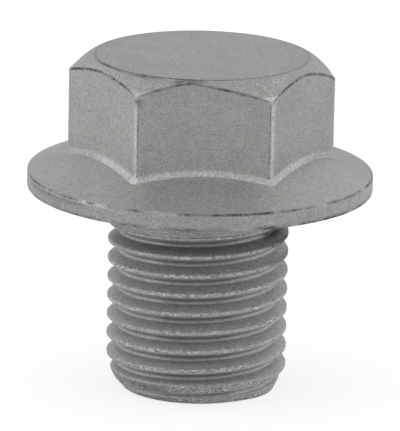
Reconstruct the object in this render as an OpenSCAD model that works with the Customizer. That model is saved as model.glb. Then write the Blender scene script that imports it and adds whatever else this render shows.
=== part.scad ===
// Hex-flange oil drain plug, one solid piece of steel.
// Frame: the origin is the centre of the flange's sealing face, +Z runs up the axis
// to the head, and a flat of the hexagon faces -Y. Millimetres.

/* [Head] */
// Width of the hexagon across its flats
across_flats = 17.75; // [16:0.05:19]
// Diameter at which the corners of the hexagon are turned off
corner_d = 20.4; // [18.5:0.1:21.5]
// Height of the flat top above the sealing face
head_h = 10.4; // [8:0.1:14]
// Diameter of the flat ring on top of the head
top_flat_d = 16.26; // [12:0.02:17]
// Diameter where the chamfer's soft shoulder turns into its cone
shoulder_d = 17.6; // [17.1:0.1:18.5]
// Drop of that shoulder below the flat top
shoulder_drop = 0.14; // [0.05:0.01:0.4]
// Slope of the chamfer's cone in degrees below level
chamfer_angle = 39.6; // [25:0.2:45]

/* [Flange] */
// Outer diameter of the flange
flange_d = 26.6; // [24:0.1:34]
// Height of the flange's outer rim
rim_h = 1.3; // [0.8:0.05:2.5]
// Edge break on the rim, above and below
rim_break = 0.14; // [0.05:0.01:0.3]
// Diameter where the flange's outer slope meets its steeper inner slope
slope_change_d = 20.8; // [19:0.1:23]
// Outer slope of the flange's top in degrees
outer_slope = 22.8; // [15:0.2:30]
// Inner slope of the flange's top in degrees
inner_slope = 27.6; // [20:0.2:35]
// Radius of the fillet between the hexagon and the flange
hex_fillet = 0.46; // [0.3:0.02:0.8]

/* [Thread] */
// Major diameter of the thread and of the plain neck
thread_d = 13.85; // [13.7:0.01:14]
// Pitch, a right-hand thread
pitch = 1.5; // [1.5:0.25:2]
// Depth from crest to root
thread_depth = 0.9; // [0.6:0.01:0.92]
// Length of the shank below the sealing face
shank_l = 15.7; // [12:0.1:30]
// Length of the exact plain neck under the flange
neck_l = 1.0; // [0.8:0.1:1.2]
// Height at which the groove starts to run out into the neck, below the sealing face
runout_start = 2.6; // [2.4:0.05:3.5]
// Diameter of the flat end of the shank
end_d = 11.2; // [10:0.1:11.6]
// Flat sides per turn of the thread
sides = 50; // [36:2:60]

/* [Hidden] */
$fn = 120;
steel = [0.62, 0.62, 0.61];
flat_r = across_flats / 2;
corner_r = corner_d / 2;
flange_r = flange_d / 2;
slope_r = slope_change_d / 2;
slope_z = rim_h + (flange_r - slope_r) * tan(outer_slope);

// The flange's sloping top and the head's chamfer, as heights over a radius
function flange_top(r) =
    r > slope_r ? rim_h + (flange_r - r) * tan(outer_slope)
                : slope_z + (slope_r - r) * tan(inner_slope);
function chamfer_z(r) = head_h - shoulder_drop - (r - shoulder_d / 2) * tan(chamfer_angle);

// Thread profile over one pitch, from a crest's centre down to the next crest's centre:
// each row is a share of the pitch and a share of the depth
crest_flat_share = 0.06;
crest_round_share = 0.13;
root_round_share = 0.385;
rounding_share = 0.133;
profile = [
    [crest_flat_share, 0],
    [crest_round_share, rounding_share],
    [root_round_share, 1 - rounding_share],
    [0.5, 1],
    [1 - root_round_share, 1 - rounding_share],
    [1 - crest_round_share, rounding_share],
    [1 - crest_flat_share, 0],
];
rows = len(profile);
crest_z = -3.38;                       // a crest's centre on the +X side
neck_gap = 0.02;                       // the neck stands this far proud of the cut shank
thread_r = thread_d / 2 - neck_gap;
cut_top = -neck_l;
end_h = 0.35;                          // height of the exact cone at the end
cut_bottom = -shank_l + end_h;
clear = 0.025;                         // no row of points lies nearer to a cap
runout_turns = 0.5;

// The rounded end: largest radius at a height above the end's flat face
end_round = [
    [0, end_d / 2],
    [end_h, end_d / 2 + 0.38],
    [0.70, end_d / 2 + 0.70],
    [1.10, end_d / 2 + 0.92],
    [1.70, end_d / 2 + 1.13],
    [2.50, thread_r - 0.02],
    [3.20, thread_r],
];
function envelope(z) = lookup(z + shank_l, end_round);

// Row g of the thread at step i around the axis
function row_z(i, g) = crest_z + pitch * (i / sides + floor(g / rows) + profile[posmod(g)][0]);
function posmod(g) = g - rows * floor(g / rows);
function groove_z(i, g) = crest_z + pitch * (i / sides + floor(g / rows) + 0.5);
function fade(z) = max(0, min(1, 1 - (z + runout_start) / (pitch * runout_turns)));
function row_r(i, g) =
    min(thread_r - thread_depth * profile[posmod(g)][1] * fade(groove_z(i, g)),
        envelope(row_z(i, g)));
function at(r, turn, z) = [r * cos(360 * turn), r * sin(360 * turn), z];

row_span = rows * (ceil(shank_l / pitch) + 3);
first_row = [for (i = [0:sides])
    [for (g = [-row_span:row_span]) if (row_z(i, g) > cut_bottom + clear) g][0]];
last_row = [for (i = [0:sides])
    [for (g = [row_span:-1:-row_span]) if (row_z(i, g) < cut_top - clear) g][0]];
column_size = [for (i = [0:sides - 1]) last_row[i] - first_row[i] + 3];
column_start = [for (i = 0, s = 0; i < sides; s = s + column_size[i], i = i + 1) s];
thread_points = [for (i = [0:sides - 1]) each concat(
    [at(envelope(cut_bottom), i / sides, cut_bottom)],
    [for (g = [first_row[i]:last_row[i]]) at(row_r(i, g), i / sides, row_z(i, g))],
    [at(thread_r, i / sides, cut_top)])];

function low(i) = column_start[i % sides];
function high(i) = column_start[i % sides] + column_size[i % sides] - 1;
function vertex(i, g) =
    i < sides ? low(i) + 1 + g - first_row[i]
              : low(0) + 1 + g + rows - first_row[0];
function low_faces(i, a, b) =
    a == b ? [[low(i), vertex(i + 1, a), low(i + 1)], [low(i), vertex(i, a), vertex(i + 1, a)]]
           : [[low(i), vertex(i + 1, b), low(i + 1)], [low(i), vertex(i + 1, a), vertex(i + 1, b)],
              [low(i), vertex(i, a), vertex(i + 1, a)]];
function high_faces(i, a, b) =
    a == b ? [[vertex(i, a), high(i + 1), vertex(i + 1, a)], [vertex(i, a), high(i), high(i + 1)]]
           : [[vertex(i, b), high(i + 1), vertex(i + 1, b)], [vertex(i, b), vertex(i, a), high(i + 1)],
              [vertex(i, a), high(i), high(i + 1)]];
function wall_faces(i, a, b) = [for (g = [a:b - 1]) each [
    [vertex(i, g), vertex(i + 1, g + 1), vertex(i + 1, g)],
    [vertex(i, g), vertex(i, g + 1), vertex(i + 1, g + 1)]]];
thread_faces = concat(
    [[for (i = [0:sides - 1]) low(i)]],
    [[for (i = [sides - 1:-1:0]) high(i)]],
    [for (i = [0:sides - 1]) each concat(
        low_faces(i, first_row[i], first_row[i + 1]),
        wall_faces(i, first_row[i], min(last_row[i], last_row[i + 1])),
        high_faces(i, last_row[i], last_row[i + 1]))]);

// The fillet ring: stations around the hexagon, each with a direction across the edge
face_steps = 8;
corner_steps = 4;
arc_steps = 4;
bury = 0.015;                          // the ring's edges sink this far into what they join
ring_depth = 0.4;                      // the ring's body reaches this far under the flange's top
ring_inset = 0.4;                      // and this far inside the hexagon's walls
face_turn = 360 / 6;                   // angle from one face of the hexagon to the next
corner_gap = 0.03;                     // a corner that is left sharp still has this much round
sharp_r = flat_r / cos(face_turn / 2);
wall_r = min(corner_r, sharp_r - corner_gap);
half_face = sqrt(wall_r * wall_r - flat_r * flat_r);
corner_half = acos(flat_r / wall_r);
corner_arc = face_turn / 2 - corner_half;
function turned(p, a) = [p[0] * cos(a) - p[1] * sin(a), p[0] * sin(a) + p[1] * cos(a)];
stations = [for (side = [0:5]) each concat(
    [for (k = [0:face_steps])
        let (facing = face_turn * side - 90)
        [turned([flat_r, half_face * (2 * k / face_steps - 1)], facing), facing]],
    [for (k = [1:corner_steps - 1])
        let (share = k / corner_steps, mid = face_turn * (side + 0.5) - 90)
        [turned([wall_r, 0], mid + corner_arc * (2 * share - 1)),
         mid + face_turn * (share - 0.5)]])];
function radius(p) = sqrt(p[0] * p[0] + p[1] * p[1]);
function moved(p, dir, d) = [p[0] + d * cos(dir), p[1] + d * sin(dir)];
function foot_slope(p, dir) =
    atan((flange_top(radius(p)) - flange_top(radius(moved(p, dir, hex_fillet)))) / hex_fillet);
function ring_point(p, z) = [p[0], p[1], z];
function section(p, dir) =
    let (z0 = flange_top(radius(p)),
         sweep = 90 - foot_slope(p, dir),
         reach = hex_fillet * tan(sweep / 2),
         foot = moved(p, dir, hex_fillet * (1 - cos(sweep))),
         inner = p * (1 - ring_inset / flat_r))
    concat(
        [ring_point(inner, z0 + reach)],
        [ring_point(moved(p, dir, -bury), z0 + reach)],
        [for (k = [1:arc_steps - 1]) let (a = sweep * k / arc_steps)
            ring_point(moved(p, dir, hex_fillet * (1 - cos(a))), z0 + reach - hex_fillet * sin(a))],
        [ring_point(foot, flange_top(radius(foot)) - bury)],
        [ring_point(foot, flange_top(radius(foot)) - ring_depth)],
        [ring_point(inner, z0 - ring_depth)]);
ring_sections = [for (s = stations) section(s[0], s[1])];
section_size = arc_steps + 4;
ring_points = [for (s = ring_sections) each s];
ring_faces = [for (i = [0:len(stations) - 1]) each [for (k = [0:section_size - 1]) each
    let (a = i * section_size,
         b = ((i + 1) % len(stations)) * section_size,
         n = (k + 1) % section_size)
    [[a + k, b + n, a + n], [a + k, b + k, b + n]]]];

// The flange and the core of the head in one profile turned about the axis
module flange() {
    color(steel)
    rotate_extrude()
    polygon([
        [0, 0],
        [flange_r - rim_break, 0],
        [flange_r, rim_break],
        [flange_r, rim_h - rim_break],
        [flange_r - rim_break, flange_top(flange_r - rim_break)],
        [slope_r, slope_z],
        [flat_r - 1, flange_top(flat_r - 1)],
        [0, flange_top(flat_r - 1)]
    ]);
}

// The hexagon, with its corners turned off and its top chamfered to a soft shoulder
module head() {
    color(steel)
    intersection() {
        cylinder(r = sharp_r, h = head_h + 1, $fn = 6);
        rotate_extrude()
        polygon([
            [0, 1],
            [corner_r, 1],
            [corner_r, chamfer_z(corner_r)],
            [shoulder_d / 2, head_h - shoulder_drop],
            [top_flat_d / 2, head_h],
            [0, head_h]
        ]);
    }
}

// The rounded corner between the hexagon's walls and the flange
module foot_fillet() {
    color(steel)
    polyhedron(points = ring_points, faces = ring_faces, convexity = 8);
}

// The plain neck above the thread and the coned end below it
module neck_and_end() {
    color(steel)
    translate([0, 0, -neck_l])
    cylinder(r = thread_d / 2, h = neck_l + 0.5);
    color(steel)
    translate([0, 0, -shank_l])
    cylinder(r1 = end_d / 2, r2 = envelope(cut_bottom) + neck_gap, h = end_h);
}

// The threaded shank, whose groove runs out into the neck
module thread() {
    color(steel)
    polyhedron(points = thread_points, faces = thread_faces, convexity = 12);
}

// The forged upper half: flange, hexagon and the fillet between them
module forged_head() {
    union() {
        flange();
        head();
        foot_fillet();
    }
}

module drain_plug() {
    union() {
        forged_head();
        neck_and_end();
        thread();
    }
}

drain_plug();
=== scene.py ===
"""A plated steel drain plug standing on its threaded end, on a white studio floor."""
import math

import bpy
import numpy as np
from mathutils import Matrix, Vector


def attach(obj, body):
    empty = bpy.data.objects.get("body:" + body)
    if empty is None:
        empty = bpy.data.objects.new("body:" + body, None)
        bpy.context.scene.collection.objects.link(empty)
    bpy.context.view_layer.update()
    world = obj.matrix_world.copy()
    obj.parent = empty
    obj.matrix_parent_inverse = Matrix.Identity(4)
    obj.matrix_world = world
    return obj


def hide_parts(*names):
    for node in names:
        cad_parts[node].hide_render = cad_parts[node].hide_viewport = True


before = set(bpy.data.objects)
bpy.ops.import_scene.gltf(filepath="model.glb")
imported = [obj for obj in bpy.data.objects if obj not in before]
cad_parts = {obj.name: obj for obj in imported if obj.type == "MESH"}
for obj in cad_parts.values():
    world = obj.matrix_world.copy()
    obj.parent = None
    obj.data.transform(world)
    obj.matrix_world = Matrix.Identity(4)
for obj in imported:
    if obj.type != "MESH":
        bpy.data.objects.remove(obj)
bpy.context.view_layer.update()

MM = 0.001

# The plug's sizes in millimetres, with the sealing face at height 0
FLAT = 8.875            # half the width across flats
CORNER_ROUND = 0.24     # rounding of the hexagon's upright edges
HEAD_H = 10.4
RING_R = 8.13           # edge of the flat ring on top
CORNER_DROP = 1.34      # how far the chamfer drops at the hexagon's corners
CORNER_SPREAD = 0.28    # more on the +X side and less on the other
CORNER_TURN = math.radians(15)
LEFT_DROP = 0.15        # and this much more at the worn corner on the -X side
RIGHT_DROP = 0.10       # and at the one on the +X side
SMUDGE_TURN = math.radians(-98)
MIDDLE_DROP = 0.40      # its drop at the middle of a face
FRONT_DROP = 0.05       # and on the front face, where the edge runs up to a point left of the middle
FRONT_SHIFT = -1.2
EDGE = 0.11             # rounding between chamfer and wall
LEFT_WEAR = 0.07        # how far the corner on the -X side is worn back
FLANGE_R = 13.3
RIM_H = 1.3
RIM_BREAK = 0.14
RUB_TURN = math.radians(-129)   # where the rim's upper edge is rubbed bright, with a painted highlight there
SLOPE_R = 10.4
OUTER_SLOPE = math.tan(math.radians(22.8))
INNER_SLOPE = math.tan(math.radians(27.6))
SLOPE_Z = RIM_H + (FLANGE_R - SLOPE_R) * OUTER_SLOPE
FOOT = 0.50             # fillet between the hexagon and the flange
FOOT_FLAT = 0.6         # how much of its curve is flattened
THREAD_R = 6.94
PITCH = 1.5
OUTER_FLANK = 1.54      # slope of a flank near the crest
INNER_FLANK = 0.35      # how much steeper it gets near the root
SHANK = 15.7
CREST_Z = -3.40         # a crest's centre on the +X side
RUNOUT_START = -2.6
RUNOUT = 0.75
CUT_TOP = -1.0
END_ROUND = ((0, 5.66), (0.35, 6.00), (0.70, 6.31), (1.10, 6.53), (1.70, 6.74), (2.50, 6.90), (3.20, THREAD_R))
END_EDGE = 0.06         # rounding of the end's rim
FULL_SIDE = 6.08        # the end is fuller on the +X side, where the last thread starts

GROOVE_SHADE = 0.43            # painted shade under the crests
TOP_SHADE = -0.045       # painted shade: the flat top is a little duller than the chamfer

FACE_STEPS = 34
ROUND_STEPS = 8
COLUMNS = 288           # steps round the thread


def smooth(x, low, high):
    t = np.clip((x - low) / (high - low), 0, 1)
    return t * t * (3 - 2 * t)


def soft_max(a, b, width):
    """The larger of two values, rounded where they cross."""
    return 0.5 * (a + b + np.sqrt((a - b) ** 2 + width * width))


def hash_noise(*keys):
    """Repeatable values from 0 to 1 for whole-number keys."""
    mixed = np.zeros(np.broadcast(*keys).shape)
    for n, key in enumerate(keys):
        mixed = mixed + np.asarray(key) * (12.9898 + 65.233 * n)
    wave = np.sin(mixed) * 43758.5453
    return wave - np.floor(wave)


def wave_noise(angle, seed, waves):
    """A smooth random curve round the axis, about -1 to 1."""
    rng = np.random.default_rng(seed)
    total = np.zeros_like(angle)
    for count in waves:
        total = total + rng.uniform(0.4, 1.0) * np.sin(count * angle + rng.uniform(0, 2 * math.pi))
    return total / math.sqrt(len(waves))


def edge_drop(angle):
    """How far the chamfer's lower edge lies below the flat top, at an angle round the hexagon."""
    side = np.round((np.degrees(angle) + 90) / 60)
    off = angle + math.radians(90) - side * math.radians(60)
    along = FLAT * np.tan(off)
    half = FLAT * math.tan(math.radians(30))
    front = np.mod(side, 6) == 0
    shift = np.where(front, FRONT_SHIFT, 0.0)
    middle = np.where(front, FRONT_DROP, MIDDLE_DROP)
    power = np.where(front, 1.2, 1.65)
    reach = np.where(along > shift, half - shift, half + shift)
    corner = angle - off + np.sign(along - shift) * math.radians(30)
    corner_drop = CORNER_DROP + CORNER_SPREAD * np.cos(corner - CORNER_TURN)
    corner_drop = corner_drop + LEFT_DROP * smooth(-np.cos(corner), 0.9, 1.0)
    corner_drop = corner_drop + RIGHT_DROP * smooth(np.cos(corner), 0.9, 1.0)
    share = np.sqrt(((along - shift) / reach) ** 2 + 0.002)
    return middle + (corner_drop - middle) * np.clip(share, 0, 1) ** power


def flange_z(r):
    outer = RIM_H + (FLANGE_R - r) * OUTER_SLOPE
    inner = SLOPE_Z + (SLOPE_R - r) * INNER_SLOPE
    return soft_max(outer, inner, 0.06)


class Grid:
    """Vertices, faces and painted layers, collected row by row."""

    def __init__(self):
        self.points = []
        self.worn = []
        self.shade = []
        self.painted_light = []
        self.faces = []
        self.count = 0

    def row(self, xyz, worn=0.0, shade=0.0, painted_light=0.0):
        xyz = np.asarray(xyz, float)
        start = self.count
        self.points.append(xyz)
        self.worn.append(np.broadcast_to(worn, len(xyz)).astype(float))
        self.shade.append(np.broadcast_to(shade, len(xyz)).astype(float))
        self.painted_light.append(np.broadcast_to(painted_light, len(xyz)).astype(float))
        self.count += len(xyz)
        return start

    def band(self, upper, lower, n):
        """Quads between two closed rows of n points, the first one above or inside the second."""
        for i in range(n):
            j = (i + 1) % n
            self.faces.append((upper + i, lower + i, lower + j, upper + j))

    def mesh(self, name):
        mesh = bpy.data.meshes.new(name)
        mesh.from_pydata((np.concatenate(self.points) * MM).tolist(), [], self.faces)
        # the painted light layer: painted highlights where positive, painted shade where negative
        for layer, parts in (("worn", self.worn), ("shade", self.shade), ("painted_light", self.painted_light)):
            values = np.concatenate(parts)
            mesh.attributes.new(layer, "FLOAT", "POINT").data.foreach_set("value", values)
        mesh.validate()
        mesh.update()
        mesh.shade_smooth()
        return mesh


def hexagon_stations():
    """Points round the rounded hexagon, with the direction straight out from the wall at each."""
    places, ways = [], []
    half = (FLAT - CORNER_ROUND) * math.tan(math.radians(30))
    centre = (FLAT - CORNER_ROUND) / math.cos(math.radians(30))
    for side in range(6):
        way = math.radians(60 * side - 90)
        out = np.array((math.cos(way), math.sin(way)))
        along = np.array((-out[1], out[0]))
        for k in range(FACE_STEPS + 1):
            share = math.sin(math.pi * (k / FACE_STEPS - 0.5))
            share = 0.55 * share + 0.45 * (2 * k / FACE_STEPS - 1)
            places.append(FLAT * out + half * share * along)
            ways.append(way)
        corner = way + math.radians(30)
        for k in range(1, ROUND_STEPS):
            turn = corner + math.radians(60) * (k / ROUND_STEPS - 0.5)
            places.append(centre * np.array((math.cos(corner), math.sin(corner)))
                          + CORNER_ROUND * np.array((math.cos(turn), math.sin(turn))))
            ways.append(turn)
    return np.array(places), np.array(ways)


def ring(radius, angle, z):
    return np.stack([radius * np.cos(angle), radius * np.sin(angle), np.broadcast_to(z, angle.shape)], 1)


def with_height(flat_points, z):
    return np.column_stack([flat_points, np.broadcast_to(z, len(flat_points))])


def build_head(grid):
    """Top, chamfer, walls, fillet, flange and sealing face. Returns the neck's first row."""
    places, ways = hexagon_stations()
    places[:, 0] += LEFT_WEAR * smooth(-places[:, 0], 8.8, 10.2)
    out = np.stack([np.cos(ways), np.sin(ways)], 1)
    n = len(places)
    angle = np.unwrap(np.arctan2(places[:, 1], places[:, 0]))
    reach = np.hypot(places[:, 0], places[:, 1])
    cornerness = smooth(reach, FLAT + 0.6, 10.15)
    tip = smooth(reach, 9.9, 10.16)

    # The flat top, from the middle to the ring's edge, made a little duller with painted shade
    centre = grid.row([(0, 0, HEAD_H)], painted_light=TOP_SHADE)
    start = grid.row(ring(1.2, angle, HEAD_H), painted_light=TOP_SHADE)
    for i in range(n):
        grid.faces.append((centre, start + i, start + (i + 1) % n))
    rows = [start]
    wobble = 0.020 * wave_noise(angle, 3, (2, 3, 5, 8, 13, 21))
    for share in (0.3, 0.45, 0.6, 0.75, 0.88, 0.95, 0.98):
        rows.append(grid.row(ring(RING_R * share, angle, HEAD_H), painted_light=TOP_SHADE))
    smudge = 0.65 * smooth(np.cos(angle - SMUDGE_TURN), 0.985, 0.998)
    ring_dark = 0.75 + 1.2 * smooth(np.cos(angle - math.radians(-118)), 0.60, 0.92)
    step = ((-0.14, 0.000, 0), (-0.09, -0.003, 0.1), (-0.04, -0.014, 0.4), (0.01, -0.034, 0.6),
            (0.06, -0.042, 0.6), (0.11, -0.040, 0.4), (0.16, -0.036, 0.1))
    wide = smooth(np.cos(angle - math.radians(-138)), 0.85, 0.95)
    for offset, drop, shade in step:
        rows.append(grid.row(ring(RING_R + wobble + offset, angle, HEAD_H + drop), shade=shade * ring_dark + 0.5 * smudge
                             + 0.5 * wide * (offset > 0.1)))

    # The chamfer, out to where its edge starts to round over
    grit = 0.75 * smooth(np.cos(angle - math.radians(-63)), 0.93, 0.99)
    inner_r = RING_R + wobble + 0.16
    inner_drop = 0.036
    drop = edge_drop(angle)
    rim = places - EDGE * out
    rim_r = np.hypot(rim[:, 0], rim[:, 1])
    rim_angle = np.unwrap(np.arctan2(rim[:, 1], rim[:, 0]))
    rim_share = (rim_r - inner_r) / (reach - inner_r)
    bulge = 1.25 + 0.60 * smooth(np.cos(angle), 0.85, 0.99) + 0.5 * smooth(-np.cos(angle), 0.80, 0.97)
    for share in (0.12, 0.25, 0.4, 0.55, 0.7, 0.84, 0.94, 1.0):
        r = inner_r + (rim_r - inner_r) * share
        a = angle + (rim_angle - angle) * share
        z = HEAD_H - inner_drop - (drop - inner_drop) * (share * rim_share) ** bulge
        # painted highlights at the corners' tips, and painted light on the +X half of the chamfer
        rows.append(grid.row(ring(r, a, z), worn=np.maximum(0.3 + 0.3 * tip * smooth(share, 0.5, 1.0), grit),
                             shade=smudge + 0.55 * wide * (1 - smooth(share, 0.10, 0.26)), painted_light=0.9 * tip * smooth(share, 0.84, 1.0)
                             + 0.06 * smooth(np.cos(angle), 0.0, 0.5)))
    rim_z = z
    edge_z = HEAD_H - drop + 0.018 * wave_noise(angle, 31, (37, 53, 71))
    nick = 0.5 + 0.5 * wave_noise(angle, 8, (7, 12, 19, 31, 47, 71))
    wall_top = edge_z - EDGE
    left_end = smooth(-np.cos(angle), 0.90, 0.96)
    both_ends = np.maximum(left_end, smooth(np.cos(angle), 0.93, 0.98))
    strength = 0.65 + 0.35 * nick + 0.4 * left_end
    dark = np.maximum(1 - smooth(reach, 9.55, 9.85), both_ends) * strength
    low_line = np.maximum(1 - smooth(reach, 10.08, 10.15), both_ends) * strength
    tip = tip * (1 - 0.8 * both_ends)
    # painted highlights along the rounded edge and the top of the walls near the corners
    lit_edge = np.maximum(tip, 0.9 * smooth(reach, 9.75, 10.05) * (1 - both_ends))
    for t, depth, line, lit in ((0.25, 0.5, dark, 1.0), (0.5, 1.2, dark, 1.0), (0.75, 1.3, low_line, 0.3)):
        p = (1 - t) ** 2 * with_height(rim, rim_z) + t * t * with_height(places, wall_top)
        p = p + 2 * t * (1 - t) * with_height(places, edge_z)
        rows.append(grid.row(p, worn=0.5, shade=line * depth, painted_light=lit_edge * lit))
    rows.append(grid.row(with_height(places, wall_top), worn=0.5, shade=low_line * 0.8, painted_light=tip * 0.3))
    rows.append(grid.row(with_height(places - 0.006 * out, wall_top - 0.05), shade=dark * 0.2, painted_light=tip * 0.4))
    rows.append(grid.row(with_height(places, wall_top - 0.12), painted_light=tip * 0.2))

    # The walls, down to the fillet, with painted highlights on the upright edges and painted shade on the front-right
    # face
    upright = smooth(reach, 10.08, 10.18)
    edge_highlight = upright * (0.60 - 0.05 * np.cos(angle))
    foot_z = flange_z(reach)
    front = smooth(-np.sin(ways), 0.95, 1.0)
    right_face = smooth(np.cos(ways + math.radians(30)), 0.95, 1.0)
    edge_highlight = edge_highlight + 0.35 * right_face * smooth(reach, 9.9, 10.15) * smooth(-np.sin(angle), 0.6, 0.8)
    beside = 0.75 * front * smooth(reach, 10.10, 10.17) * (1 - smooth(reach, 10.18, 10.20))
    slope = np.arctan((flange_z(reach) - flange_z(reach + 0.3)) / 0.3
                      * np.cos(np.angle(np.exp(1j * (ways - angle)))))
    sweep = math.pi / 2 - slope
    lift = FOOT * np.tan(sweep / 2)
    wall_foot = foot_z + lift
    for share in (0.04, 0.15, 0.3, 0.45, 0.6, 0.75, 0.88, 0.96, 1.0):
        z = (wall_top - 0.12) + (wall_foot - wall_top + 0.12) * share
        blob = 0.9 * smooth(np.cos(angle + math.radians(119.5)), 0.9994, 0.99995) * (1 - smooth(share, 0.04, 0.15))
        rows.append(grid.row(with_height(places, z), worn=upright * 0.35, shade=beside + blob,
                             painted_light=edge_highlight - 0.05 * right_face))

    # The fillet
    last = (FOOT * (1 - np.cos(sweep)))[:, None]
    foot = places + last * out
    foot_end = flange_z(np.hypot(foot[:, 0], foot[:, 1]))
    for k in range(1, 9):
        turn = sweep * k / 8
        arc = with_height(places + (FOOT * (1 - np.cos(turn)))[:, None] * out, wall_foot - FOOT * np.sin(turn))
        chord = with_height(places + last * out * k / 8, wall_foot + (foot_end - wall_foot) * k / 8)
        p = arc + (chord - arc) * FOOT_FLAT
        if k == 8:
            p = with_height(foot, foot_end)
        band = math.sin(math.pi * min(k / 7, 1) * 0.5 + 0.3)
        glint = band * (0.62 + 0.38 * upright) * (1 - 0.8 * smooth(np.abs(np.cos(angle)), 0.78, 0.96))
        rows.append(grid.row(p, worn=0.6 + 0.5 * upright, painted_light=glint))

    # The flange's slope and rim
    foot_r = np.hypot(foot[:, 0], foot[:, 1])
    foot_angle = np.unwrap(np.arctan2(foot[:, 1], foot[:, 0]))
    top_r = FLANGE_R - RIM_BREAK
    dent = 0.014 * wave_noise(foot_angle, 21, (3, 9, 17, 29, 43, 61))
    dent = dent - LEFT_WEAR * smooth(-np.cos(foot_angle), 0.4, 1.0)
    facing = -np.sin(foot_angle)
    # painted light on the flange's +X side and a little on its -X side, painted shade at its front
    flange_light_and_shade = 0.27 * smooth(np.cos(foot_angle), 0.25, 0.65) - 0.105 * smooth(facing, 0.85, 0.98)
    flange_light_and_shade = flange_light_and_shade + 0.08 * smooth(-np.cos(foot_angle), 0.4, 0.8)
    for share in (0.02, 0.08, 0.2, 0.35, 0.5, 0.65, 0.8, 0.9, 0.97, 1.0):
        r = foot_r + (top_r - foot_r) * share
        rows.append(grid.row(ring(r, foot_angle, flange_z(r)), worn=0.1 + 0.12 * smooth(facing, 0.8, 0.97),
                             painted_light=flange_light_and_shade * smooth(facing, -0.2, 0.3) * smooth(share, 0.0, 0.15)))
    # bright wear along the rim's upper edge, together with a painted highlight
    rim_wear_and_highlight = smooth(wave_noise(foot_angle, 5, (4, 7, 11, 23, 37)), 0.4, 1.4)
    rim_wear_and_highlight = np.maximum(rim_wear_and_highlight, smooth(np.cos(foot_angle - RUB_TURN), 0.991, 0.998))
    rim_dark = smooth(wave_noise(foot_angle, 6, (5, 9, 14, 26, 41, 66)), -0.9, 0.6)
    rim_dark = np.maximum(rim_dark, 0.9 * smooth(np.cos(foot_angle + math.radians(83)), 0.970, 0.985))
    low_dark = smooth(wave_noise(foot_angle, 16, (3, 8, 15, 24, 44, 67)), -0.8, 0.5)
    low_dark = low_dark * (0.9 + 0.5 * smooth(np.cos(foot_angle + math.radians(45)), 0.6, 0.95))
    soiled = 0.6 * smooth(np.cos(foot_angle + math.radians(150)), 0.92, 0.99)
    corner_z = flange_z(np.array(top_r))
    for turn in (22, 45, 68, 90):
        a = math.radians(turn)
        r = top_r + RIM_BREAK * math.sin(a) + dent * math.sin(a)
        z = corner_z - (corner_z - (RIM_H - RIM_BREAK)) * (1 - math.cos(a))
        rows.append(grid.row(ring(r, foot_angle, z), worn=0.4, shade=1.2 * rim_dark * math.sin(2 * a - 0.3), painted_light=rim_wear_and_highlight))
    outer = FLANGE_R + dent
    rows.append(grid.row(ring(outer, foot_angle, RIM_H - RIM_BREAK - 0.06)))
    for z in (1.0, 0.75, 0.5, 0.3, RIM_BREAK + 0.03, RIM_BREAK):
        near_edge = 1 - smooth(z, RIM_BREAK, RIM_BREAK + 0.2)
        # painted shade on the rim's wall, more on its -X side
        rows.append(grid.row(ring(outer, foot_angle, z), worn=0.32,
                             shade=0.7 * low_dark * near_edge + soiled * smooth(z, 0.6, 1.0),
                             painted_light=-0.06 - 0.08 * smooth(-np.cos(foot_angle), 0.2, 0.7)))
    for turn in (30, 60, 90):
        a = math.radians(turn)
        r = outer - RIM_BREAK * (1 - math.cos(a))
        rows.append(grid.row(ring(r, foot_angle, RIM_BREAK * (1 - math.sin(a))), shade=0.9 * low_dark))

    # The sealing face, in to the neck, which is darkened with painted shade under the flange and has dark pits
    for r in (12.9, 11.5, 9.5, 7.6, THREAD_R + 0.16, THREAD_R + 0.05):
        z = 0.0 if r > THREAD_R + 0.1 else -0.03
        rows.append(grid.row(ring(r, foot_angle, z)))
    rows.append(grid.row(ring(THREAD_R, foot_angle, -0.14), worn=0.5, shade=0.5, painted_light=-0.05))
    rows.append(grid.row(ring(THREAD_R, foot_angle, CUT_TOP + 0.2), worn=0.5, shade=0.5, painted_light=-0.05))
    for upper, lower in zip(rows, rows[1:]):
        grid.band(upper, lower, n)
    return rows[-1], foot_angle


def profile_samples():
    """Distances from a crest's centre, as shares of the pitch, closer together on the curves."""
    half = (0.0, 0.05, 0.08, 0.11, 0.15, 0.20, 0.30, 0.42, 0.52, 0.57, 0.62, 0.67, 0.75)
    down = [u / PITCH for u in half]
    return down + [1 - s for s in reversed(down[1:-1])]


def ramp_area(x, low, high):
    """The area under a smooth step from 0 to 1, up to x."""
    t = np.clip((x - low) / (high - low), 0, 1)
    return (high - low) * (t ** 3 - 0.5 * t ** 4) + np.maximum(x - high, 0)


def groove_depth(share):
    """Depth of the thread's profile at a share of the pitch: broad rounded crests, flat roots."""
    distance = np.abs(share - np.round(share)) * PITCH
    outer = OUTER_FLANK * ramp_area(distance, 0.07, 0.19)
    inner = INNER_FLANK * ramp_area(distance, 0.30, 0.50)
    return outer + inner - (OUTER_FLANK + INNER_FLANK) * ramp_area(distance, 0.57, 0.67)


def envelope(z, angle):
    """The rounded end's largest radius at a height and an angle."""
    above = np.asarray(z) + SHANK
    radius = np.interp(above, [h for h, _ in END_ROUND], [r for _, r in END_ROUND])
    fuller = np.maximum(FULL_SIDE + 0.5 * above - radius, 0)
    return radius + fuller * smooth(np.cos(angle), 0.45, 0.95)


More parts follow.
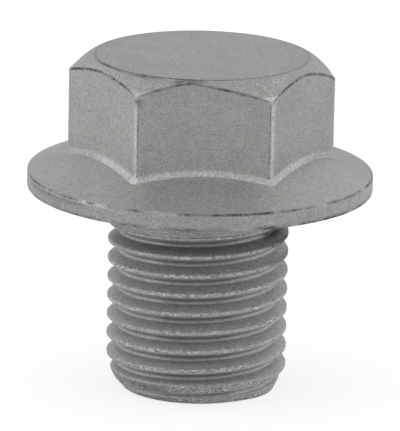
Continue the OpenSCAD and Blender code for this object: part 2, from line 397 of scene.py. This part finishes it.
def build_thread(grid, neck_row, neck_angle):
    """The helical thread, one column per step round the axis, closed by the flat end."""
    shares = np.array(profile_samples())
    rows = len(shares)
    turns = int(SHANK / PITCH) + 4
    index = np.arange(-rows * turns, rows * turns)
    label_height = CREST_Z + PITCH * (index // rows + shares[index % rows])
    bottom = -SHANK + END_EDGE
    clear = 0.02
    columns = []
    for i in range(COLUMNS):
        z = label_height + PITCH * i / COLUMNS
        keep = (z > bottom + clear) & (z < CUT_TOP - clear)
        labels = index[keep]
        height = z[keep]
        share = shares[labels % rows]
        groove = height - share * PITCH + 0.5 * PITCH
        fade = 1 - smooth(groove, RUNOUT_START, RUNOUT_START + RUNOUT)
        travel = i + COLUMNS * (labels // rows)
        a = 2 * math.pi * i / COLUMNS
        crest = 1 - smooth(np.abs(share - np.round(share)), 0.06, 0.19)
        rough = hash_noise(travel, labels % rows) - 0.5
        depth = groove_depth(share) * fade
        limit = envelope(height, a)
        radius = np.minimum(THREAD_R - depth, limit)
        cut = smooth(THREAD_R - depth - limit, 0.0, 0.1)
        radius = radius + 0.016 * rough * crest * fade * (1 - cut)
        below = np.mod(-share, 1) * PITCH
        # painted shade in the grooves under the crests, strongest at the front
        groove_shade = smooth(below, 0.22, 0.45) * (1 - smooth(below, 0.70, 0.85)) * fade * (1 - cut)
        groove_shade = groove_shade * (0.15 + 0.85 * smooth(-math.sin(a), 0.80, 0.97))
        # painted shade on the first flank, under the flange
        first = smooth(height, -4.0, -3.3) * smooth(below, 0.72, 0.92) * fade
        groove_shade = groove_shade + 0.45 * first
        # painted shade just under the root line at the front
        low = smooth(below, 0.80, 0.88) * (1 - smooth(below, 0.92, 1.2)) * smooth(-math.sin(a), 0.6, 0.9)
        groove_shade = groove_shade + 0.3 * low * fade * (1 - cut)
        # painted highlight along the root away from the front, painted light on the +X side, painted shade on the -X
        # side
        root_and_side_light = 0.35 * (1 - smooth(np.abs(below - 0.5 * PITCH), 0.02, 0.10)) * fade * (1 - cut)
        root_and_side_light = root_and_side_light * (1 - smooth(-math.sin(a), 0.80, 0.97))
        root_and_side_light = root_and_side_light + 0.19 * max(math.cos(a), 0) - 0.07 * max(-math.cos(a), 0)
        wear = np.maximum(np.maximum(crest, 0.5 * (1 - fade)), 1.4 * cut)
        lines = smooth(hash_noise(labels % rows, labels // rows), 0.6, 0.8)
        dirt_and_shade = (0.2 + 0.45 * smooth(-math.cos(a), -0.2, 0.8)) * cut
        dirt_and_shade = np.maximum((0.25 + 0.7 * lines) * (1 - fade), dirt_and_shade)
        soot = 1.2 * smooth(height, -7.0, -3.5) * smooth(math.cos(a), 0.65, 0.9) * smooth(-math.sin(a), -0.1, 0.2)
        # painted shade on the first flank under the flange, broken up by pits
        dirt_and_shade = np.maximum(dirt_and_shade, 0.35 * first)
        dirt_and_shade = np.maximum(dirt_and_shade, soot * np.maximum(crest, smooth(height, -3.4, -2.8)))
        points = np.stack([radius * math.cos(a), radius * math.sin(a), height], 1)
        end_r = envelope(bottom, a)
        end = (end_r * math.cos(a), end_r * math.sin(a), bottom)
        top = (THREAD_R * math.cos(a), THREAD_R * math.sin(a), CUT_TOP)
        start = grid.row(np.vstack([end, points, top]), worn=np.concatenate([[0.5], wear, [0.5]]),
                         shade=np.concatenate([[0.5], dirt_and_shade, [0.5]]),
                         painted_light=np.concatenate([[0], root_and_side_light - GROOVE_SHADE * groove_shade, [0]]))
        columns.append((start, labels[0], labels[-1]))

    def column(i):
        if i < COLUMNS:
            return columns[i]
        start, first, last = columns[0]
        return start, first - rows, last - rows

    for i in range(COLUMNS):
        a_start, a_first, a_last = column(i)
        b_start, b_first, b_last = column(i + 1)
        a_low, b_low = a_start, b_start
        for g in range(b_first, a_first):
            grid.faces.append((a_low, b_low, b_start + 1 + g - b_first))
            b_low = b_start + 1 + g - b_first
        grid.faces.append((a_low, b_low, b_start + 1 + a_first - b_first, a_start + 1))
        for g in range(a_first, b_last):
            a = a_start + 1 + g - a_first
            b = b_start + 1 + g - b_first
            grid.faces.append((a, b, b + 1, a + 1))
        b_high = b_start + 2 + b_last - b_first
        a = a_start + 1 + b_last - a_first
        b = b_start + 1 + b_last - b_first
        grid.faces.append((a, b, b_high, a + 1))
        for g in range(b_last + 1, a_last + 1):
            a = a_start + 1 + g - a_first
            grid.faces.append((a, b_high, a + 1))

    # Close the flat end with a rounded rim
    angle = 2 * math.pi * np.arange(COLUMNS) / COLUMNS
    previous = [start for start, _, _ in columns]
    for turn in (30, 60, 90):
        t = math.radians(turn)
        r = envelope(bottom, angle) - END_EDGE * (1 - math.cos(t))
        start = grid.row(ring(r, angle, bottom - END_EDGE * math.sin(t)), worn=0.2)
        following = [start + i for i in range(COLUMNS)]
        for i in range(COLUMNS):
            j = (i + 1) % COLUMNS
            grid.faces.append((previous[i], following[i], following[j], previous[j]))
        previous = following
    for r in (4.5, 2.5, 1.0):
        start = grid.row(ring(r, angle, -SHANK))
        following = [start + i for i in range(COLUMNS)]
        for i in range(COLUMNS):
            j = (i + 1) % COLUMNS
            grid.faces.append((previous[i], following[i], following[j], previous[j]))
        previous = following
    centre = grid.row([(0, 0, -SHANK)])
    for i in range(COLUMNS):
        grid.faces.append((previous[i], centre, previous[(i + 1) % COLUMNS]))

    # Join the plain neck above to the thread's top row
    order = np.argsort(np.mod(neck_angle, 2 * math.pi))
    n = len(neck_angle)
    first = int(order[0])
    turned = [(first + k) % n for k in range(n)]
    upper_angle = [math.fmod(neck_angle[k] + 4 * math.pi, 2 * math.pi) for k in turned]
    tops = [start + 2 + last - first_label for start, first_label, last in columns]
    join_rows(grid, [neck_row + k for k in turned], upper_angle, tops, angle)


def join_rows(grid, upper, upper_angle, lower, lower_angle):
    """Triangles between two closed rows that have different numbers of points."""
    a, b = 0, 0
    na, nb = len(upper), len(lower)
    while a < na or b < nb:
        next_a = upper_angle[a + 1] if a + 1 < na else upper_angle[0] + 2 * math.pi
        next_b = lower_angle[b + 1] if b + 1 < nb else lower_angle[0] + 2 * math.pi
        if b >= nb or (a < na and next_a <= next_b):
            grid.faces.append((upper[a % na], lower[b % nb], upper[(a + 1) % na]))
            a += 1
        else:
            grid.faces.append((upper[a % na], lower[b % nb], lower[(b + 1) % nb]))
            b += 1


class Nodes:
    """Short helpers for wiring a node tree."""

    def __init__(self, tree):
        self.tree = tree
        self.tree.nodes.clear()

    def add(self, kind, **settings):
        node = self.tree.nodes.new(kind)
        for key, value in settings.items():
            setattr(node, key, value)
        return node

    def link(self, source, target):
        self.tree.links.new(source, target)

    def feed(self, target, value):
        if isinstance(value, (int, float)):
            target.default_value = value
        else:
            self.link(value, target)

    def math(self, operation, a, b=0.0, clamp=False):
        node = self.add("ShaderNodeMath", operation=operation, use_clamp=clamp)
        self.feed(node.inputs[0], a)
        self.feed(node.inputs[1], b)
        return node.outputs[0]

    def ramp(self, value, low, high, out_low=0.0, out_high=1.0):
        node = self.add("ShaderNodeMapRange", clamp=True)
        self.feed(node.inputs["Value"], value)
        node.inputs["From Min"].default_value = low
        node.inputs["From Max"].default_value = high
        node.inputs["To Min"].default_value = out_low
        node.inputs["To Max"].default_value = out_high
        return node.outputs[0]

    def noise(self, vector, scale, detail=2.0, rough=0.5):
        node = self.add("ShaderNodeTexNoise")
        node.inputs["Scale"].default_value = scale
        node.inputs["Detail"].default_value = detail
        node.inputs["Roughness"].default_value = rough
        self.link(vector, node.inputs["Vector"])
        return node.outputs["Fac"]

    def mix(self, factor, a, b):
        node = self.add("ShaderNodeMix", data_type="RGBA")
        self.feed(node.inputs["Factor"], factor)
        for socket, value in ((node.inputs["A"], a), (node.inputs["B"], b)):
            if isinstance(value, tuple):
                socket.default_value = (*value, 1)
            else:
                self.link(value, socket)
        return node.outputs["Result"]

    def painted(self, name):
        return self.add("ShaderNodeAttribute", attribute_name=name).outputs["Fac"]


def new_material(name):
    material = bpy.data.materials.new(name)
    material.use_nodes = True
    return material, Nodes(material.node_tree)


METAL = 0.5


def plated_steel():
    """Matt grey plating with a sandy grain, bright where edges and crests are worn, dark in nicks, with painted
    highlights and painted shade from the painted layers.
    """
    material, n = new_material("plated_steel")
    place = n.add("ShaderNodeTexCoord").outputs["Object"]
    split = n.add("ShaderNodeSeparateXYZ")
    n.link(place, split.inputs[0])
    shank = n.ramp(split.outputs["Z"], -0.0002, 0.0, 1.0, 0.0)
    stretch = n.add("ShaderNodeCombineXYZ")
    n.link(n.ramp(shank, 0, 1, 1.0, 0.5), stretch.inputs["X"])
    n.link(n.ramp(shank, 0, 1, 1.0, 0.5), stretch.inputs["Y"])
    n.link(n.ramp(shank, 0, 1, 1.0, 1.3), stretch.inputs["Z"])
    drawn = n.add("ShaderNodeVectorMath", operation="MULTIPLY")
    n.link(place, drawn.inputs[0])
    n.link(stretch.outputs[0], drawn.inputs[1])
    place = drawn.outputs[0]
    grain = n.noise(place, 7000, 3, 0.65)
    sand = n.noise(place, 2300, 2, 0.6)
    blotch = n.noise(place, 420, 3, 0.55)
    cloud = n.noise(place, 90, 2, 0.5)
    worn = n.painted("worn")
    shade = n.painted("shade")
    patch = n.ramp(n.noise(place, 1500, 2, 0.6), 0.38, 0.62, 0.35, 1.7)
    strong = n.math("MAXIMUM", n.math("SUBTRACT", n.painted("painted_light"), 0.3), 0.0)
    uneven = n.math("MULTIPLY", strong, n.math("SUBTRACT", patch, 1.0))
    painted_light = n.math("ADD", n.painted("painted_light"), uneven)
    # the shade layer: dark lines, nicks and dirt, and painted shade on the neck and the first thread flank
    nick = n.math("MAXIMUM", shade, 0.0)

    tone = n.math("ADD", n.ramp(grain, 0.3, 0.7, -1.25, 1.25), n.ramp(sand, 0.3, 0.7, -0.35, 0.35))
    tone = n.math("ADD", tone, n.ramp(blotch, 0.3, 0.7, -0.2, 0.2))
    tone = n.math("ADD", tone, n.ramp(cloud, 0.3, 0.7, -0.15, 0.15))
    base = n.mix(n.ramp(tone, -1.4, 1.4), (0.27, 0.268, 0.26), (0.47, 0.465, 0.453))
    fleck = n.ramp(n.noise(place, 9500, 2, 0.6), 0.34, 0.66, -1.0, 1.0)
    worn = n.math("MULTIPLY", worn, patch)
    light = n.math("MULTIPLY", worn, n.math("MAXIMUM", fleck, 0.0))
    # painted shade where the painted light layer is negative, painted highlight where it is positive
    base = n.mix(n.math("MULTIPLY", painted_light, -1.0, clamp=True), base, (0.0, 0.0, 0.0))
    base = n.mix(n.math("MULTIPLY", painted_light, n.ramp(grain, 0.3, 0.7, 0.30, 0.95), clamp=True), base, (0.74, 0.74, 0.725))
    base = n.mix(n.math("MULTIPLY", light, 0.55, clamp=True), base, (0.78, 0.78, 0.76))
    dull = n.math("MULTIPLY", worn, n.math("MAXIMUM", n.math("SUBTRACT", 0.0, fleck), 0.0))
    base = n.mix(n.math("MULTIPLY", dull, 0.55, clamp=True), base, (0.10, 0.10, 0.095))
    hollow = n.ramp(n.math("ADD", sand, n.math("MULTIPLY", blotch, 0.7)), 0.72, 0.95)
    pit = n.math("MULTIPLY", nick, n.math("MAXIMUM", hollow, n.ramp(grain, 0.52, 0.64, 0.0, 0.8)))
    base = n.mix(n.math("MULTIPLY", nick, 0.32, clamp=True), base, (0.045, 0.043, 0.04))
    base = n.mix(n.math("MULTIPLY", pit, 0.9, clamp=True), base, (0.045, 0.043, 0.04))

    rough = n.ramp(tone, -1.0, 1.0, 0.58, 0.48)
    rough = n.math("SUBTRACT", rough, n.math("MULTIPLY", light, 0.08))
    height = n.math("ADD", grain, n.math("MULTIPLY", sand, 0.8))
    height = n.math("SUBTRACT", height, n.math("MULTIPLY", pit, 0.8))
    bump = n.add("ShaderNodeBump")
    bump.inputs["Strength"].default_value = 0.35
    bump.inputs["Distance"].default_value = 0.00003
    n.link(height, bump.inputs["Height"])

    shader = n.add("ShaderNodeBsdfPrincipled")
    shader.inputs["Metallic"].default_value = METAL
    n.link(base, shader.inputs["Base Color"])
    n.link(rough, shader.inputs["Roughness"])
    n.link(bump.outputs["Normal"], shader.inputs["Normal"])
    output = n.add("ShaderNodeOutputMaterial")
    n.link(shader.outputs["BSDF"], output.inputs["Surface"])
    return material


def floor_material():
    """White floor: pure white to the camera and in the metal, apart from the plug's soft shadow."""
    material, n = new_material("studio_floor")
    paths = n.add("ShaderNodeLightPath")
    seen = n.math("MAXIMUM", paths.outputs["Is Camera Ray"], paths.outputs["Is Glossy Ray"])
    seen = n.math("MAXIMUM", seen, paths.outputs["Is Transmission Ray"])
    diffuse = n.add("ShaderNodeBsdfDiffuse")
    diffuse.inputs["Color"].default_value = (0.88, 0.88, 0.88, 1)
    glow = n.add("ShaderNodeEmission")
    both = n.add("ShaderNodeMixShader")
    n.link(n.math("MULTIPLY", seen, FLOOR_SHARE), both.inputs[0])
    glow_level = n.ramp(paths.outputs["Is Camera Ray"], 0, 1, FLOOR_GLOSS, FLOOR_GLOW)
    n.link(glow_level, glow.inputs["Strength"])
    n.link(diffuse.outputs[0], both.inputs[1])
    n.link(glow.outputs[0], both.inputs[2])
    output = n.add("ShaderNodeOutputMaterial")
    n.link(both.outputs[0], output.inputs["Surface"])
    return material


FLOOR_SHARE = 0.6
FLOOR_GLOW = 1.22
FLOOR_GLOSS = 1.05


def make_floor():
    mesh = bpy.data.meshes.new("floor")
    size = 0.3
    front = -0.045
    z = -SHANK * MM
    corners = [(-size, front, z), (size, front, z), (size, size, z), (-size, size, z)]
    mesh.from_pydata(corners, [], [(0, 1, 2, 3)])
    floor = bpy.data.objects.new("floor", mesh)
    bpy.context.collection.objects.link(floor)
    mesh.materials.append(floor_material())


ROOM_LEVEL = 0.896       # brightness of the white room as the plug sees it
LEFT_GAIN = 0.336        # and how much each of its sides adds or takes away
RIGHT_GAIN = 0.208
FRONT_GAIN = -0.272
BACK_GAIN = -0.128
TOP_GAIN = -0.136
LOW_GAIN = -0.032


def make_world():
    """A white room, brighter to the sides and darker in front. To the camera it is pure white."""
    world = bpy.data.worlds.new("studio")
    bpy.context.scene.world = world
    world.use_nodes = True
    n = Nodes(world.node_tree)
    split = n.add("ShaderNodeSeparateXYZ")
    n.link(n.add("ShaderNodeTexCoord").outputs["Generated"], split.inputs[0])
    level = ROOM_LEVEL
    for axis, start, full, gain in (("X", -0.3, -0.95, LEFT_GAIN), ("X", 0.3, 0.95, RIGHT_GAIN),
                                    ("Y", -0.5, -0.98, FRONT_GAIN), ("Y", 0.5, 0.98, BACK_GAIN),
                                    ("Z", 0.4, 0.95, TOP_GAIN), ("Z", 0.0, -0.5, LOW_GAIN)):
        level = n.math("ADD", level, n.ramp(split.outputs[axis], start, full, 0.0, gain))
    paths = n.add("ShaderNodeLightPath")
    background = n.add("ShaderNodeBackground")
    background.inputs["Color"].default_value = (1, 1, 1, 1)
    n.link(n.math("MAXIMUM", level, paths.outputs["Is Camera Ray"]), background.inputs["Strength"])
    output = n.add("ShaderNodeOutputWorld")
    n.link(background.outputs[0], output.inputs["Surface"])


def add_light(name, place, size, watts):
    """A square softbox at a place in metres, aimed at the plug."""
    data = bpy.data.lights.new(name, "AREA")
    data.shape = "SQUARE"
    data.size = size
    data.energy = watts
    light = bpy.data.objects.new(name, data)
    light.location = place
    light.rotation_euler = (Vector((0, 0, 0)) - Vector(place)).to_track_quat("-Z", "Y").to_euler()
    bpy.context.collection.objects.link(light)


def make_camera():
    """The photograph's view: 15 degrees down, from far off, rolled a little over a degree."""
    distance = 0.4517
    elevation = math.radians(14.97)
    azimuth = math.radians(-1.69)
    roll = math.radians(1.258)
    pixels_per_mm = 13.0086
    long_side_px = 431
    sensor = 36.0
    turn = Matrix.Rotation(azimuth, 3, "Z")
    forward = turn @ Vector((0, math.cos(elevation), -math.sin(elevation)))
    side = turn @ Vector((1, 0, 0))
    up = side.cross(forward)
    target = turn @ Vector((0.0940 * MM, 0, -2.2922 * MM))
    right = math.cos(roll) * side + math.sin(roll) * up
    above = math.cos(roll) * up - math.sin(roll) * side
    data = bpy.data.cameras.new("camera")
    data.sensor_width = sensor
    data.lens = pixels_per_mm * distance / MM * sensor / long_side_px
    data.clip_start = 0.01
    data.clip_end = 50
    camera = bpy.data.objects.new("camera", data)
    pose = Matrix((right, above, -forward)).transposed().to_4x4()
    pose.translation = target - forward * distance
    camera.matrix_world = pose
    bpy.context.collection.objects.link(camera)
    bpy.context.scene.camera = camera


make_camera()
make_world()
make_floor()
add_light("softbox_left", (-0.35, -0.10, 0.25), 0.30, 0.10)

surface = Grid()
neck_row, neck_angle = build_head(surface)
build_thread(surface, neck_row, neck_angle)
plug = bpy.data.objects.new("plug", surface.mesh("plug"))
bpy.context.collection.objects.link(plug)
plug.data.materials.append(plated_steel())
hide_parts("drain_plug")
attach(plug, "root")

bpy.context.scene.view_settings.view_transform = "Standard"
